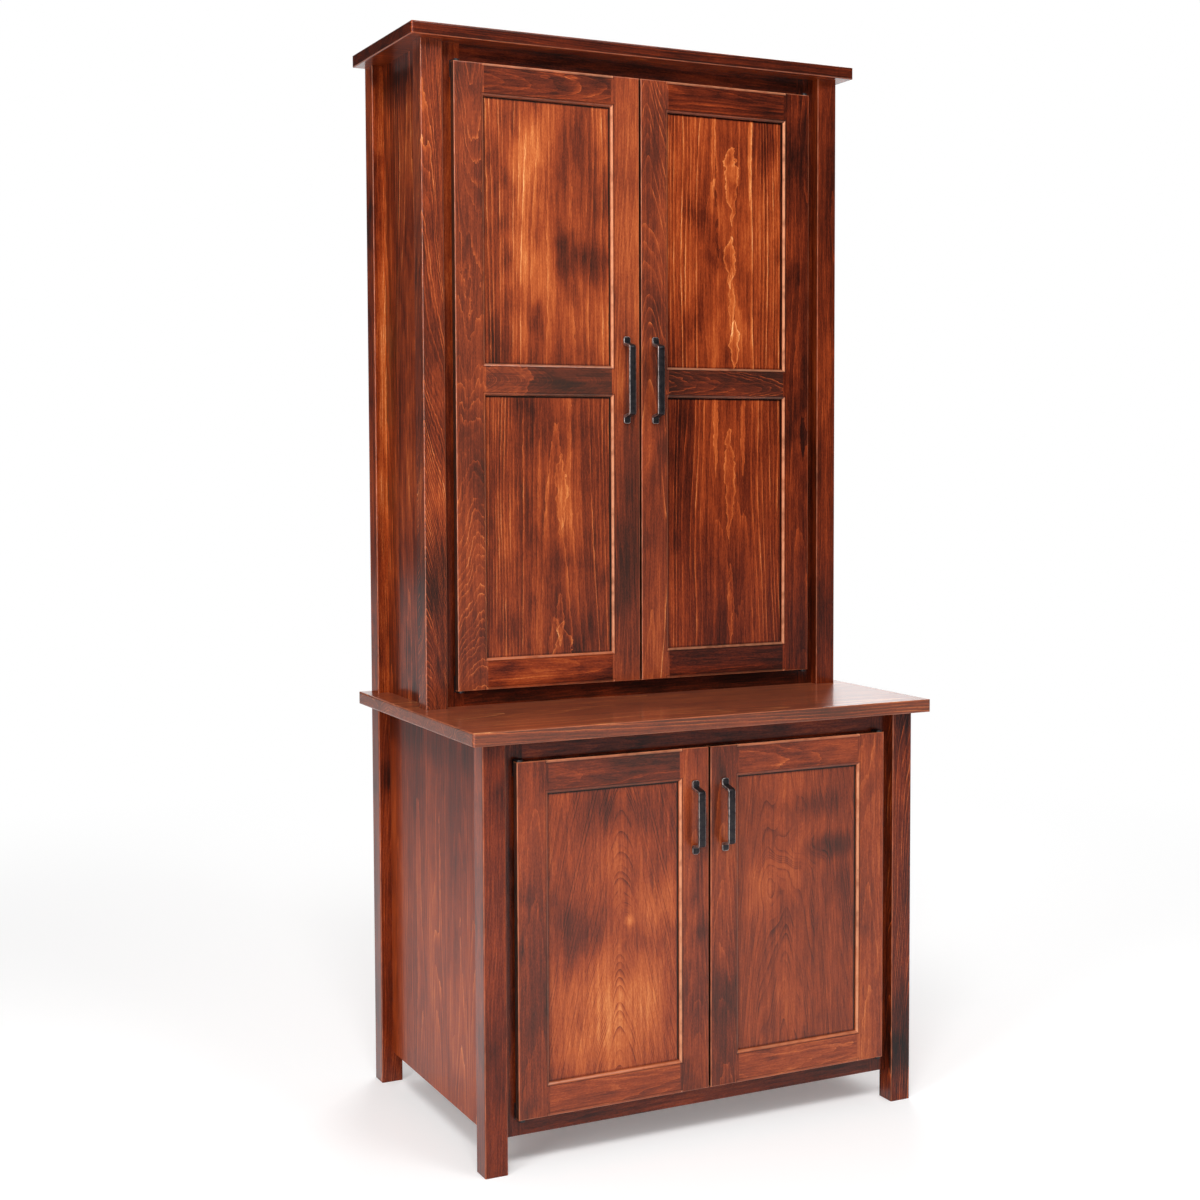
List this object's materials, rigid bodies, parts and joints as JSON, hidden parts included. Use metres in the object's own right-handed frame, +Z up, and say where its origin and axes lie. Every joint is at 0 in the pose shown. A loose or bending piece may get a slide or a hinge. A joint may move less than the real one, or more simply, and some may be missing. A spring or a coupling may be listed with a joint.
{
  "type": "printer cabinet with hutch",
  "caption": "Tall stained wooden cabinet: a deep base on square legs with two framed doors, and a shallower hutch with two taller doors on its top.",
  "frame": {"origin": "on the floor, under the middle of the cabinet's whole outline seen from above, pulls included", "axes": "+X to the right as seen from the front, +Y to the back, +Z up"},
  "size_m": [0.916, 0.619, 1.986],
  "materials": {
    "stained_wood": "dark reddish brown stained hardwood with a semi-gloss lacquer",
    "panel_wood": "flat panels in the same stained hardwood, upright grain, semi-gloss lacquer",
    "inner_wood": "stained boards of the inside, satin lacquer",
    "dark_bronze": "dark bronze, satin, rubbed bright along its edges",
    "zinc_steel": "zinc-plated steel, satin",
    "catch_plastic": "brown moulded plastic, matt"
  },
  "bodies": {
    "root": {"base_top": "stained_wood", "base_post_front_left": "stained_wood", "base_post_front_right": "stained_wood", "base_post_rear_left": "stained_wood", "base_post_rear_right": "stained_wood", "base_side_left": "stained_wood", "base_side_right": "stained_wood", "base_back": "inner_wood", "base_floor": "inner_wood", "base_shelf": "inner_wood", "base_frame_stile_left": "stained_wood", "base_frame_stile_right": "stained_wood", "base_frame_rail_top": "stained_wood", "base_frame_rail_bottom": "stained_wood", "base_cleats": "inner_wood", "hutch_top": "stained_wood", "hutch_post_front_left": "stained_wood", "hutch_post_front_right": "stained_wood", "hutch_post_rear_left": "stained_wood", "hutch_post_rear_right": "stained_wood", "hutch_side_left": "stained_wood", "hutch_side_right": "stained_wood", "hutch_back": "inner_wood", "hutch_floor": "inner_wood", "hutch_shelf_lower": "inner_wood", "hutch_shelf_middle": "inner_wood", "hutch_shelf_upper": "inner_wood", "hutch_frame_stile_left": "stained_wood", "hutch_frame_stile_right": "stained_wood", "hutch_frame_rail_top": "stained_wood", "hutch_frame_rail_bottom": "stained_wood", "hutch_cleats": "inner_wood", "shelf_pins": "zinc_steel", "pivot_brackets": "dark_bronze", "wood_screws": "zinc_steel", "door_catches": "catch_plastic"},
    "base_left_door": {"base_left_door_stiles": "stained_wood", "base_left_door_rails": "stained_wood", "base_left_door_panel": "panel_wood", "base_left_door_pull": "dark_bronze", "base_left_door_pull_screws": "zinc_steel", "base_left_door_fittings": "zinc_steel"},
    "base_right_door": {"base_right_door_stiles": "stained_wood", "base_right_door_rails": "stained_wood", "base_right_door_panel": "panel_wood", "base_right_door_pull": "dark_bronze", "base_right_door_pull_screws": "zinc_steel", "base_right_door_fittings": "zinc_steel"},
    "hutch_left_door": {"hutch_left_door_stiles": "stained_wood", "hutch_left_door_rails": "stained_wood", "hutch_left_door_panels": "panel_wood", "hutch_left_door_pull": "dark_bronze", "hutch_left_door_pull_screws": "zinc_steel", "hutch_left_door_fittings": "zinc_steel"},
    "hutch_right_door": {"hutch_right_door_stiles": "stained_wood", "hutch_right_door_rails": "stained_wood", "hutch_right_door_panels": "panel_wood", "hutch_right_door_pull": "dark_bronze", "hutch_right_door_pull_screws": "zinc_steel", "hutch_right_door_fittings": "zinc_steel"}
  },
  "joints": [
    {"name": "base_left_door_hinge", "type": "hinge", "parent": "root", "child": "base_left_door", "pos_m": [-0.3625, -0.2745, 0.09], "axis": [0, 0, -1], "range_deg": [0, 110]},
    {"name": "base_right_door_hinge", "type": "hinge", "parent": "root", "child": "base_right_door", "pos_m": [0.3625, -0.2745, 0.09], "axis": [0, 0, 1], "range_deg": [0, 110]},
    {"name": "hutch_left_door_hinge", "type": "hinge", "parent": "root", "child": "hutch_left_door", "pos_m": [-0.3625, 0.0005, 0.797], "axis": [0, 0, -1], "range_deg": [0, 110]},
    {"name": "hutch_right_door_hinge", "type": "hinge", "parent": "root", "child": "hutch_right_door", "pos_m": [0.3625, 0.0005, 0.797], "axis": [0, 0, 1], "range_deg": [0, 110]}
  ]
}
